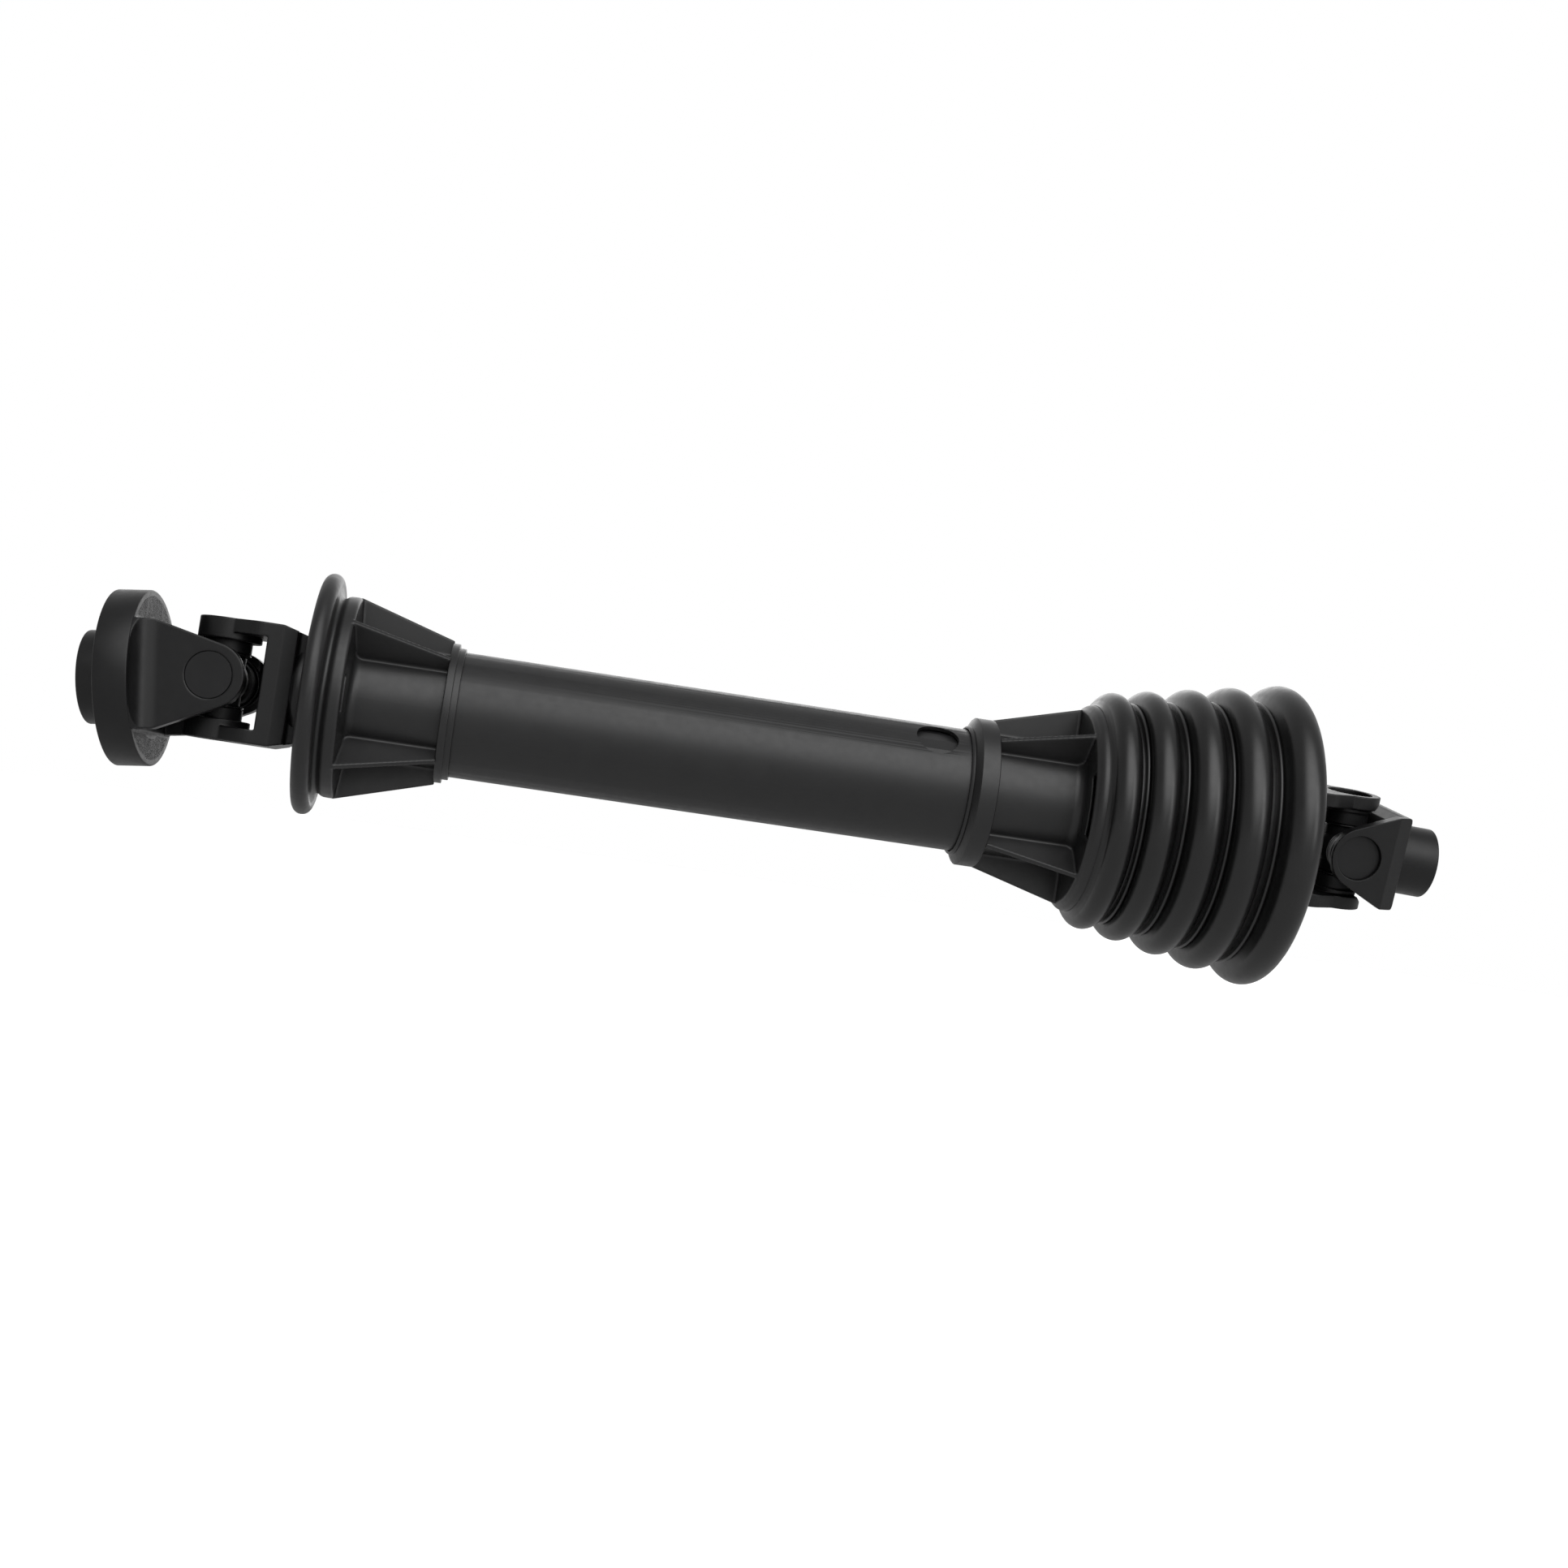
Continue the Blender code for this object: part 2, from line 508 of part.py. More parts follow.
def drive_tube(name, surface, outer, inner, start, end, parent):
    tube = add(name, hollow_prism(outer, inner, start, end), surface, parent)
    hole = rod(-40 * MM, 40 * MM, ROLL_PIN_RADIUS + GAP, 16, "y", 0.4)
    bmesh.ops.translate(hole, vec=(ROLL_PIN_X, 0, 0), verts=hole.verts)
    cut(tube, hole)
    return tube


def build():
    clear_scene()
    paint = material("black_paint", (0.02, 0.02, 0.022), 0.42, 0.0)
    plastic = material("black_plastic", (0.018, 0.018, 0.02), 0.48, 0.0)
    rubber = material("black_rubber", (0.02, 0.02, 0.02), 0.6, 0.0)
    steel = material("machined_steel", (0.5, 0.5, 0.52), 0.32, 1.0)
    spring = material("spring_steel", (0.12, 0.12, 0.13), 0.38, 1.0)
    nylon = material("nylon", (0.55, 0.52, 0.42), 0.45, 0.0)

    left = empty("left_joint", (LEFT_X, 0, 0))
    left_swing = empty("left_swing", turn=(0, 0, LEFT_SWING), parent=left)
    clutch = empty("clutch_tilt", turn=(0, LEFT_TILT, 0), parent=left_swing)
    right = empty("right_joint", (RIGHT_X, 0, 0), (RIGHT_PHASE, 0, 0))
    right_tube = empty("right_tube_side", turn=(0, 0, math.pi), parent=right)
    end = empty("end_tilt", turn=(0, END_TILT, 0), parent=right)

    # Clutch yoke, and the clutch in it
    clutch_housing(paint, clutch)
    hub = [(CLUTCH_HUB_END, 0), (CLUTCH_HUB_END, CLUTCH_HUB_RADIUS - HUB_CHAMFER),
           (CLUTCH_HUB_END + HUB_CHAMFER, CLUTCH_HUB_RADIUS), (CAVITY_MOUTH + GAP, CLUTCH_HUB_RADIUS),
           (CAVITY_MOUTH + GAP, RACE_RADIUS), (CAVITY_FLOOR - GAP, RACE_RADIUS), (CAVITY_FLOOR - GAP, 0)]
    race = add("clutch_hub", turned(hub), paint, clutch)
    cut(race, prism(spline_outline(), CLUTCH_HUB_END - MM, -40 * MM, "x"))
    add("clutch_cover", ring(CLUTCH_BACK + 2.9 * MM, CAVITY_MOUTH - GAP, CLUTCH_HUB_RADIUS + GAP, COVER_SEAT_RADIUS - GAP, HUB_STEPS),
        steel, clutch)
    add("clutch_snap_ring", ring(CLUTCH_BACK + 1.1 * MM, CLUTCH_BACK + 2.3 * MM, 46 * MM, COVER_SEAT_RADIUS + 1.7 * MM, HUB_STEPS),
        spring, clutch)
    for number in range(ROLLER_COUNT):
        turn = math.radians(60 * number)
        middle = (CAVITY_FLOOR + CAVITY_MOUTH) / 2
        place = (middle, -ROLLER_ORBIT * math.sin(turn), ROLLER_ORBIT * math.cos(turn))
        add(f"roller_{number + 1}", rod(-6 * MM, 6 * MM, ROLLER_RADIUS, 12), steel, clutch, place)
        low, high = ROLLER_ORBIT - 3 * MM, ROLLER_ORBIT + 3.5 * MM
        strip = [(4.6 * MM, high), (6.2 * MM, high), (12.6 * MM, low), (13.4 * MM, low), (13.4 * MM, low - 0.6 * MM),
                 (12.2 * MM, low - 0.6 * MM), (5.8 * MM, high - 0.6 * MM), (4.6 * MM, high - 0.6 * MM)]
        leaf = prism(strip, middle - 4 * MM, middle + 4 * MM, "x")
        add(f"roller_spring_{number + 1}", leaf, spring, clutch, turn=(turn, 0, 0))

    # Universal joints
    cross("left_cross", steel, left_swing)
    cross("right_cross", steel, right)
    for side, swing, tube_side, yoke_side, depth in (
        ("left", left_swing, left, clutch, 1.8 * MM), ("right", right, right_tube, end, 3.6 * MM),
    ):
        bearing_set(side, 1, "z", 1, tube_side, steel, spring, rubber, 3.6 * MM)
        bearing_set(side, 2, "z", -1, tube_side, steel, spring, rubber, 3.6 * MM)
        bearing_set(side, 3, "y", 1, yoke_side, steel, spring, rubber, depth)
        bearing_set(side, 4, "y", -1, yoke_side, steel, spring, rubber, depth)

    # Drive tubes and their yokes
    small = LOBE_RADIUS - DRIVE_WALL - DRIVE_CLEARANCE
    tube_yoke("left_inner_yoke", paint, left, lobed(LOBE_RADIUS + GAP))
    tube_yoke("right_inner_yoke", paint, right_tube, lobed(small + GAP, RIGHT_PHASE))
    drive_tube("outer_drive_tube", steel, lobed(LOBE_RADIUS), lobed(LOBE_RADIUS - DRIVE_WALL), TUBE_SEAT, OUTER_DRIVE_END, left)
    drive_tube("inner_drive_tube", steel, lobed(small, RIGHT_PHASE), lobed(small - DRIVE_WALL, RIGHT_PHASE), TUBE_SEAT,
               JOINT_SPACING - INNER_DRIVE_END, right_tube)
    pin = TUBE_HUB_RADIUS - 0.5 * MM
    add("left_roll_pin", rod(-pin, pin, ROLL_PIN_RADIUS, 16, "y"), spring, left, (ROLL_PIN_X, 0, 0))
    add("right_roll_pin", rod(-pin, pin, ROLL_PIN_RADIUS, 16, "y"), spring, right_tube, (ROLL_PIN_X, 0, 0))
    end_yoke(paint, end)
    lock = [(15.6 * MM, 0), (15.6 * MM, LOCK_RADIUS - 1.5 * MM), (17 * MM, LOCK_RADIUS), (LOCK_BOSS_END + GAP, LOCK_RADIUS),
            (LOCK_BOSS_END + GAP, 7.5 * MM), (LOCK_BOSS_END + 4 * MM, 7.5 * MM), (LOCK_BOSS_END + 5 * MM, 6.5 * MM),
            (LOCK_BOSS_END + 5 * MM, 0)]
    add("lock_pin", turned(lock, 16, "y"), steel, end, (LOCK_X, 0, 0))

    # Guard
    left_guard_cone(plastic)
    tube = add("outer_guard_tube", ring(LEFT_X + TUBE_SOCKET, LEFT_X + GUARD_TUBE_END, GUARD_RADIUS - GUARD_WALL, GUARD_RADIUS,
                                        GUARD_STEPS), plastic)
    hole = rod(30 * MM, 50 * MM, HOLE_RADIUS, 20, "y")
    bmesh.ops.rotate(hole, matrix=Matrix.Rotation(math.radians(180 - HOLE_ANGLE), 3, "X"), verts=hole.verts)
    bmesh.ops.translate(hole, vec=(LEFT_X + HOLE_X, 0, 0), verts=hole.verts)
    cut(tube, hole)
    right_guard_cone(plastic)
    add("inner_guard_tube", ring(LEFT_X + INNER_GUARD_START, RIGHT_X - INNER_GUARD_END, INNER_GUARD_RADIUS - GUARD_WALL,
                                 INNER_GUARD_RADIUS, HUB_STEPS), plastic)
    bellows(rubber)
    groove = (BEARING_START + GAP, BEARING_END - GAP, BEARING_GROOVE_RADIUS + GAP)
    add("left_guard_bearing", ring(*groove, 34.9 * MM, HUB_STEPS), nylon, left)
    add("right_guard_bearing", ring(*groove, INNER_GUARD_RADIUS - GUARD_WALL - GAP, HUB_STEPS), nylon, right_tube)


build()
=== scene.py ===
"""The looks of the guarded universal joint shaft, built round its CAD frame.

Every visible piece is modelled again here, finer than in the CAD, in the local frame of its joint and in
millimetres, then put in place with that frame's matrix. Pieces hidden inside keep their CAD shape.
"""

import json
import math

import bmesh
import bpy
from mathutils import Matrix, Vector


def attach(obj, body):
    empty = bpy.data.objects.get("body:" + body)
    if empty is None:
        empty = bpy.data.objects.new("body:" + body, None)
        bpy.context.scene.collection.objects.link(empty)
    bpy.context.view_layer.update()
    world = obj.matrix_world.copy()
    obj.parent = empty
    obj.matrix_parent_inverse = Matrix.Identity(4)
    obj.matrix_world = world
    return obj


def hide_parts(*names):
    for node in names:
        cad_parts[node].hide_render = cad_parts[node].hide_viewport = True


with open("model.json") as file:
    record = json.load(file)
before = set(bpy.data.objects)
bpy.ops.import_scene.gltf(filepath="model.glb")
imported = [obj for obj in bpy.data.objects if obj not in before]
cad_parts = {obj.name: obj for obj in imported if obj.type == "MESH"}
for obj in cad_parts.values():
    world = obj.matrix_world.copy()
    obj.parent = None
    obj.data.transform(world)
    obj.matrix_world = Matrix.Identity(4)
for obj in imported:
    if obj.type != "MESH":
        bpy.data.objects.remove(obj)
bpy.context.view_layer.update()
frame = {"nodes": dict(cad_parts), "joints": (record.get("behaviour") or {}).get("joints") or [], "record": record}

# ---------------------------------------------------------------- frames

joints = {joint["name"]: joint for joint in frame["joints"]}
LEFT = Vector(joints["left_swing"]["pos_m"])
RIGHT = Vector(joints["right_swing"]["pos_m"])
SCALE = Matrix.Scale(0.001, 4)
LEFT_SWING = math.radians(-7.2)
LEFT_TILT = math.radians(-7.0)
RIGHT_PHASE = math.radians(10.5)
END_TILT = math.radians(2.0)

LEFT_TUBE = Matrix.Translation(LEFT)
LEFT_CROSS = LEFT_TUBE @ Matrix.Rotation(LEFT_SWING, 4, "Z")
CLUTCH = LEFT_CROSS @ Matrix.Rotation(LEFT_TILT, 4, "Y")
RIGHT_GUARD = Matrix.Translation(RIGHT)
RIGHT_CROSS = RIGHT_GUARD @ Matrix.Rotation(RIGHT_PHASE, 4, "X")
RIGHT_TUBE = RIGHT_CROSS @ Matrix.Rotation(math.pi, 4, "Z")
END = RIGHT_CROSS @ Matrix.Rotation(END_TILT, 4, "Y")

# ---------------------------------------------------------------- shapes, in millimetres

FINE = 144  # steps round a turned piece
MEDIUM = 96
SMALL = 64

ARC_STEP = 15  # degrees turned by each step of a rounded corner
NEARLY_STRAIGHT = 172  # corners flatter than this, in degrees, stay sharp


def turned(outline, steps=MEDIUM, axis="x", phase=0.0):
    """A closed outline of (along, radius) points, turned about an axis through the origin."""
    shape = bmesh.new()
    rings = []
    for along, radius in outline:
        circle = []
        for step in range(steps if radius else 0):
            angle = 2 * math.pi * (step + phase) / steps
            across = (radius * math.cos(angle), radius * math.sin(angle))
            places = {"x": (along, *across), "y": (across[1], along, across[0]), "z": (*across, along)}
            circle.append(shape.verts.new(places[axis]))
        rings.append(circle)
    for here, there in zip(rings, rings[1:] + rings[:1]):
        if here and there:
            for step in range(steps):
                after = (step + 1) % steps
                shape.faces.new([here[step], here[after], there[after], there[step]])
        elif here or there:
            shape.faces.new(here or there)
    bmesh.ops.recalc_face_normals(shape, faces=shape.faces)
    return shape


def rod(start, end, radius, steps=SMALL, axis="x", phase=0.0):
    return turned([(start, 0), (start, radius), (end, radius), (end, 0)], steps, axis, phase)


def prism(outline, start, end, axis="y"):
    """A flat outline pushed out along an axis. The outline is (x, z) for y, (x, y) for z and (y, z) for x."""
    places = {"y": lambda a, b, c: (a, c, b), "z": lambda a, b, c: (a, b, c), "x": lambda a, b, c: (c, a, b)}
    place = places[axis]
    shape = bmesh.new()
    low = [shape.verts.new(place(a, b, start)) for a, b in outline]
    high = [shape.verts.new(place(a, b, end)) for a, b in outline]
    shape.faces.new(low)
    shape.faces.new(high[::-1])
    for here in range(len(outline)):
        after = (here + 1) % len(outline)
        shape.faces.new([low[here], low[after], high[after], high[here]])
    bmesh.ops.recalc_face_normals(shape, faces=shape.faces)
    return shape


def block(low, high):
    outline = [(low[0], low[2]), (high[0], low[2]), (high[0], high[2]), (low[0], high[2])]
    return prism(outline, low[1], high[1])


def arc(centre, radius, start, end, steps=8):
    """Points along an arc, angles in degrees."""
    angles = [math.radians(start + (end - start) * step / steps) for step in range(steps + 1)]
    return [(centre[0] + radius * math.cos(a), centre[1] + radius * math.sin(a)) for a in angles]


def rounded(outline, radius, closed=True):
    """The outline with each corner replaced by a small arc. Radius is one number, or one for each corner."""
    count = len(outline)
    points = []
    for here in range(count):
        corner = Vector(outline[here])
        size = radius[here] if isinstance(radius, (list, tuple)) else radius
        if size <= 0 or (not closed and here in (0, count - 1)):
            points.append(tuple(corner))
            continue
        before = Vector(outline[here - 1]) - corner
        after = Vector(outline[(here + 1) % count]) - corner
        turn = before.angle(after, math.pi)
        if turn > math.radians(NEARLY_STRAIGHT):
            points.append(tuple(corner))
            continue
        reach = min(size / math.tan(turn / 2), before.length * 0.45, after.length * 0.45)
        first = corner + before.normalized() * reach
        last = corner + after.normalized() * reach
        steps = max(3, int((180 - math.degrees(turn)) / ARC_STEP))
        for step in range(steps + 1):
            t = step / steps
            points.append(tuple(first * (1 - t) ** 2 + corner * 2 * t * (1 - t) + last * t * t))
    return points


def mirrored(half):
    """A half outline of (x, y) points, closed by its mirror image."""
    return half + [(x, -y) for x, y in reversed(half)]


def about_x(shape, degrees):
    bmesh.ops.rotate(shape, matrix=Matrix.Rotation(math.radians(degrees), 3, "X"), verts=shape.verts)
    return shape


def shifted(shape, x=0.0, y=0.0, z=0.0):
    bmesh.ops.translate(shape, vec=(x, y, z), verts=shape.verts)
    return shape


def raw_object(name, shape):
    mesh = bpy.data.meshes.new(name)
    shape.to_mesh(mesh)
    shape.free()
    made = bpy.data.objects.new(name, mesh)
    bpy.context.scene.collection.objects.link(made)
    return made


def make(name, body, replaced, place, shape, skin, steps=(), voxel=0.0, relax=0, bevel=0.0, sharp=32):
    """A visible piece. Steps are (operation, shape) Booleans. A voxel size remeshes the result, so that its
    edges and inner corners come out softly rounded, as forged or moulded ones do."""
    draft = raw_object(name + ".draft", shape)
    helpers = []
    for number, (operation, other) in enumerate(steps):
        helper = raw_object(f"{name}.helper{number}", other)
        helpers.append(helper)
        modifier = draft.modifiers.new(f"step{number}", "BOOLEAN")
        modifier.operation = operation
        modifier.object = helper
        modifier.solver = "EXACT"
    if bevel:
        modifier = draft.modifiers.new("bevel", "BEVEL")
        modifier.width = bevel
        modifier.segments = 3
        modifier.limit_method = "ANGLE"
        modifier.angle_limit = math.radians(40)
    if voxel:
        modifier = draft.modifiers.new("remesh", "REMESH")
        modifier.mode = "VOXEL"
        modifier.voxel_size = voxel
    if relax:
        modifier = draft.modifiers.new("relax", "SMOOTH")
        modifier.factor = 0.5
        modifier.iterations = relax
    bpy.context.view_layer.update()
    final = bpy.data.meshes.new_from_object(draft.evaluated_get(bpy.context.evaluated_depsgraph_get()))
    for thing in [draft, *helpers]:
        bpy.data.objects.remove(thing)
    final.name = name
    final.transform(place @ SCALE)
    final.shade_smooth()
    if not voxel:
        final.set_sharp_from_angle(angle=math.radians(sharp))
    final.materials.clear()
    final.materials.append(skin)
    piece = bpy.data.objects.new(name, final)
    bpy.context.scene.collection.objects.link(piece)
    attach(piece, body)
    if replaced:
        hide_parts(*replaced)
    return piece


# ---------------------------------------------------------------- materials


GRAIN_DEPTH = 0.0002  # metres


def satin(name, dark, light, rough, grain, bump, specular=0.5, metallic=0.0, mottling=55.0, stretch=(1, 1, 1)):
    """A finish with a slow drift in colour, a finer one in roughness, and a fine grain in the surface."""
    made = bpy.data.materials.new(name)
    made.use_nodes = True
    nodes, links = made.node_tree.nodes, made.node_tree.links
    shader = nodes["Principled BSDF"]
    where = nodes.new("ShaderNodeTexCoord")
    spread = nodes.new("ShaderNodeMapping")
    spread.inputs["Scale"].default_value = stretch
    links.new(where.outputs["Object"], spread.inputs["Vector"])

    def noise(scale, detail, roughness=0.55):
        node = nodes.new("ShaderNodeTexNoise")
        node.inputs["Scale"].default_value = scale
        node.inputs["Detail"].default_value = detail
        node.inputs["Roughness"].default_value = roughness
        links.new(spread.outputs["Vector"], node.inputs["Vector"])
        return node.outputs["Fac"]

    def ranged(value, low, high):
        node = nodes.new("ShaderNodeMapRange")
        node.inputs["From Min"].default_value = 0.3
        node.inputs["From Max"].default_value = 0.7
        node.inputs["To Min"].default_value = low
        node.inputs["To Max"].default_value = high
        links.new(value, node.inputs["Value"])
        return node.outputs["Result"]

    colour = nodes.new("ShaderNodeMix")
    colour.data_type = "RGBA"
    colour.inputs["A"].default_value = (*dark, 1)
    colour.inputs["B"].default_value = (*light, 1)
    links.new(ranged(noise(mottling, 3), 0, 1), colour.inputs["Factor"])
    links.new(colour.outputs["Result"], shader.inputs["Base Color"])
    links.new(ranged(noise(mottling * 3.1, 5), rough[0], rough[1]), shader.inputs["Roughness"])
    shader.inputs["Metallic"].default_value = metallic
    shader.inputs["Specular IOR Level"].default_value = specular
    surface = nodes.new("ShaderNodeBump")
    surface.inputs["Strength"].default_value = bump
    surface.inputs["Distance"].default_value = GRAIN_DEPTH
    links.new(noise(grain, 4), surface.inputs["Height"])
    links.new(surface.outputs["Normal"], shader.inputs["Normal"])
    return made


PAINT = satin("black_paint", (0.0042, 0.0042, 0.0046), (0.0065, 0.0065, 0.0068), (0.34, 0.42), 900, 0.04,
              specular=0.42)
PLASTIC = satin("black_plastic", (0.0062, 0.0062, 0.0066), (0.0088, 0.0088, 0.0092), (0.36, 0.44), 1300,
                0.08, specular=0.62)
RUBBER = satin("black_rubber", (0.0040, 0.0040, 0.0042), (0.006, 0.006, 0.0062), (0.28, 0.36), 1100, 0.08,
               specular=0.62)
STEEL = satin("machined_steel", (0.30, 0.30, 0.31), (0.42, 0.42, 0.43), (0.24, 0.38), 700, 0.10,
              metallic=1.0, stretch=(6, 1, 1))
DARK_STEEL = satin("spring_steel", (0.010, 0.010, 0.011), (0.017, 0.017, 0.018), (0.34, 0.46), 900, 0.10)
JOINT_STEEL = satin("oiled_steel", (0.005, 0.005, 0.0055), (0.008, 0.008, 0.0085), (0.42, 0.52), 800, 0.10,
                    specular=0.38)
NYLON = satin("nylon", (0.42, 0.39, 0.30), (0.52, 0.49, 0.39), (0.40, 0.52), 600, 0.08)

# ---------------------------------------------------------------- guard

FIN_ANGLES = (45, 90, 135, 225, 270, 315)  # degrees from -Y towards +Z
FIN_THICKNESS = 3.4
MOULD_VOXEL = 0.7
HOLE_ANGLE = 50  # of the tube's hole, degrees from -Y towards +Z
HOLE_X = 473.5


def fin_steps(outline):
    """Fins that stand on a guard's cone, as shapes to join on. The outline is (x, radius)."""
    half = FIN_THICKNESS / 2
    return [("UNION", about_x(prism(outline, -half, half), 90 - angle)) for angle in FIN_ANGLES]


def slot_shape(start, end, inner, outer, half_angle):
    """A slot in a cone's wall, at -Y, between two radii."""
    outline = arc((0, 0), outer, 180 - half_angle, 180 + half_angle, 17)
    outline += arc((0, 0), inner, 180 + half_angle, 180 - half_angle, 17)
    return prism(outline, start, end, "x")


def left_cone():
    outline = arc((62.2, 74.5), 5.9, 232, -22, 30)
    outline += [(67.9, 69.6), (68.2, 67.2), (69.0, 65.6), (70.4, 65.0), (71.9, 65.4), (73.2, 66.5)]
    outline += [(75.0, 67.1), (78.6, 67.2)]
    outline += arc((79.6, 64.8), 2.4, 85, 5, 6)
    outline += [(82.4, 60), (83.8, 45.5)]
    outline += arc((89.3, 43.6), 5.8, 170, 268, 7)
    outline += [(100, 37.8), (145.4, 37.8), (145.4, 35.2), (84, 35.2), (80.2, 36.5), (78.4, 40)]
    outline += [(78.4, 61.2), (76, 62.6), (71, 61.6), (66.2, 63.4), (62.4, 68.4)]
    steps = fin_steps([(80, 36.6), (79.0, 66.4), (81.0, 67.4), (145.2, 48.4), (145.2, 36.6)])
    steps.append(("DIFFERENCE", slot_shape(76, 86, 56.4, 61.8, 12)))
    make("left_cone", "guard_left", ["left_guard_cone"], LEFT_TUBE, turned(outline, FINE), PLASTIC,
         steps, voxel=MOULD_VOXEL, relax=3)
    corners = [(144.6, 38.2), (144.6, 46.8), (149.6, 46.8), (149.6, 44.2), (153.8, 44.2), (153.8, 42.1)]
    corners += [(146.4, 42.1), (146.4, 38.2)]
    collar = rounded(corners, [0.1, 0.7, 0.5, 0.2, 0.6, 0.1, 0, 0.1])
    make("left_collar", "guard_left", [], LEFT_TUBE, turned(collar, FINE), PLASTIC)


def guard_tube():
    outline = [(147.3, 39.4), (147.3, 42), (500.4, 42), (501, 41.4), (501, 40), (500.4, 39.4)]
    hole = rod(30, 50, 14.5, MEDIUM, "y")
    about_x(hole, 180 - HOLE_ANGLE)
    shifted(hole, HOLE_X)
    make("guard_tube", "guard_left", ["outer_guard_tube"], LEFT_TUBE, turned(outline, FINE), PLASTIC,
         [("DIFFERENCE", hole)], bevel=0.5)


def right_cone():
    """Turned in the frame of the right joint, so the guard lies at negative x."""
    outline = [(-258.0, 38.9), (-258.0, 40.8), (-206, 40.8)]
    outline += arc((-203.6, 47.0), 6.2, 275, 357, 7)
    outline += [(-197.2, 55), (-197.2, 65.9)]
    outline += arc((-194.7, 66.0), 2.5, 180, 110, 5)
    outline += arc((-190.6, 67.0), 4.8, 150, 80, 8)
    outline += [(-186.3, 71.6), (-186.3, 69.0), (-190.4, 67.0), (-194.0, 63), (-194.0, 46), (-197, 41)]
    outline += [(-201, 38.9)]
    steps = fin_steps([(-195.0, 39.6), (-195.0, 67.6), (-197.8, 67.6), (-258.6, 50.9), (-258.6, 39.6)])
    steps.append(("DIFFERENCE", slot_shape(-200, -190, 56.8, 65.6, 20)))
    # behind the slot the wall is hollowed, so that only a thin lip shows in front of the dark inside
    steps.append(("DIFFERENCE", slot_shape(-195.8, -190, 47.5, 66.4, 21)))
    make("right_cone", "guard_right", ["right_guard_cone"], RIGHT_GUARD, turned(outline, FINE), PLASTIC,
         steps, voxel=MOULD_VOXEL, relax=3)
    collar = [(-258.2, 38.9), (-269.6, 38.9), (-269.6, 42.5), (-275.8, 42.5), (-276.3, 43.1), (-276.2, 43.9)]
    collar += [(-275.5, 44.5), (-274.3, 44.8), (-273.9, 44.4), (-273.5, 44.9), (-270.9, 50.3)]
    collar += [(-270.3, 50.9), (-258.7, 50.9), (-258.2, 50.4)]
    make("right_collar", "guard_right", [], RIGHT_GUARD, turned(collar, FINE), PLASTIC)


LOBES = (  # x of each lobe's middle, outer radius, and the lobe's own radius
    (-177.5, 82.4, 9.0), (-153, 87.1, 9.8), (-124, 92.8, 10.8), (-95, 98.6, 11.6), (-61, 105.0, 12.6),
)
VALLEYS = ((-165.6, 73.4), (-139.4, 78.2), (-110.0, 83.0), (-79.4, 88.4))  # x and radius of each groove


def bellows():
    """Five lobes with a groove between each pair, and a low rounded rib in each groove."""
    wall = 2.4
    outer = [(-189.4, 70.4), (-189.4, 72.0), (-188.2, 72.5), (-187.1, 73.6), (-186.6, 75.0)]
    inner = []
    for number, (x, radius, size) in enumerate(LOBES):
        last = number == len(LOBES) - 1
        outer += arc((x, radius - size), size, 168, -35 if last else 12, 22)
        inner += arc((x, radius - size), size - wall, 165, -35 if last else 15, 14)
        if not last:
            valley_x, valley = VALLEYS[number]
            outer += [(valley_x - 1.6, valley), (valley_x - 0.2, valley)]
            outer += arc((valley_x + 1.3, valley + 2.4), 1.5, 180, 10, 8)
            outer.append((valley_x + 3.0, valley + 1.4))
            inner += [(valley_x - 2, valley - wall), (valley_x + 2, valley - wall)]
    outer = outer[:-1] + [(-49.6, 84.5), (-50.6, 83.6), (-52.2, 84.0)]
    make("bellows_skin", "guard_right", ["bellows"], RIGHT_GUARD, turned(outer + inner[::-1][1:], FINE),
         RUBBER, sharp=50)


# ---------------------------------------------------------------- yokes and joints

EAR_INNER = 30.7  # from the joint centre to an ear's inner face
EAR_OUTER = 40
LOCK_X = 48  # from the right joint's centre to the locking pin
EAR_LEAD = 1.9  # how far the rounded end's centre lies off the pin, on the two end yokes
CUP_RADIUS = 15.1
CUP_BORE_RADIUS = 15.4
CLIP_GROOVE_RADIUS = 16.6
FLUSH_DEPTH = 1.8  # of a circlip below the ear's face, where the cap is flush with it
SUNK_DEPTH = 3.6


def ear_side(centre_x, root_x, root_half, radius=21.0):
    """Side view of an ear: a round end about a point near the pin, and flanks that widen to a root."""
    side = -1 if root_x < 0 else 1
    away = math.hypot(root_x - centre_x, root_half)
    tangent = math.degrees(math.atan2(root_half, abs(root_x - centre_x)) + math.acos(radius / away))
    spread = 180 - tangent
    return [(centre_x - side * x, z) for x, z in arc((0, 0), radius, -spread, spread, 40)]


def ear_work(axis, clip_depth, tip=None, boss=17.0):
    """Steps that add bosses inside both ears, bore them for the cups and circlips, and bevel their tips."""
    top = EAR_OUTER - clip_depth + 0.3
    floor = 27 if boss < 20 else 26
    steps = [("UNION", rod(side * floor, side * 33, boss, FINE, axis)) for side in (-1, 1)]
    steps.append(("DIFFERENCE", rod(-42, 42, CUP_BORE_RADIUS, SMALL, axis)))
    for side in (-1, 1):
        groove = rod(side * (top - 2.2), side * top, CLIP_GROOVE_RADIUS, SMALL, axis)
        steps.append(("DIFFERENCE", groove))
    for side in (-1, 1) if tip else ():
        sign = math.copysign(1, tip)
        outer_x = tip + sign * 2
        bevel = [(tip - sign * 7.2, side * 30.5), (outer_x, side * 30.5), (outer_x, side * 38.1)]
        steps.append(("DIFFERENCE", prism(bevel, -EAR_OUTER, EAR_OUTER, {"z": "y", "y": "z"}[axis])))
    return steps


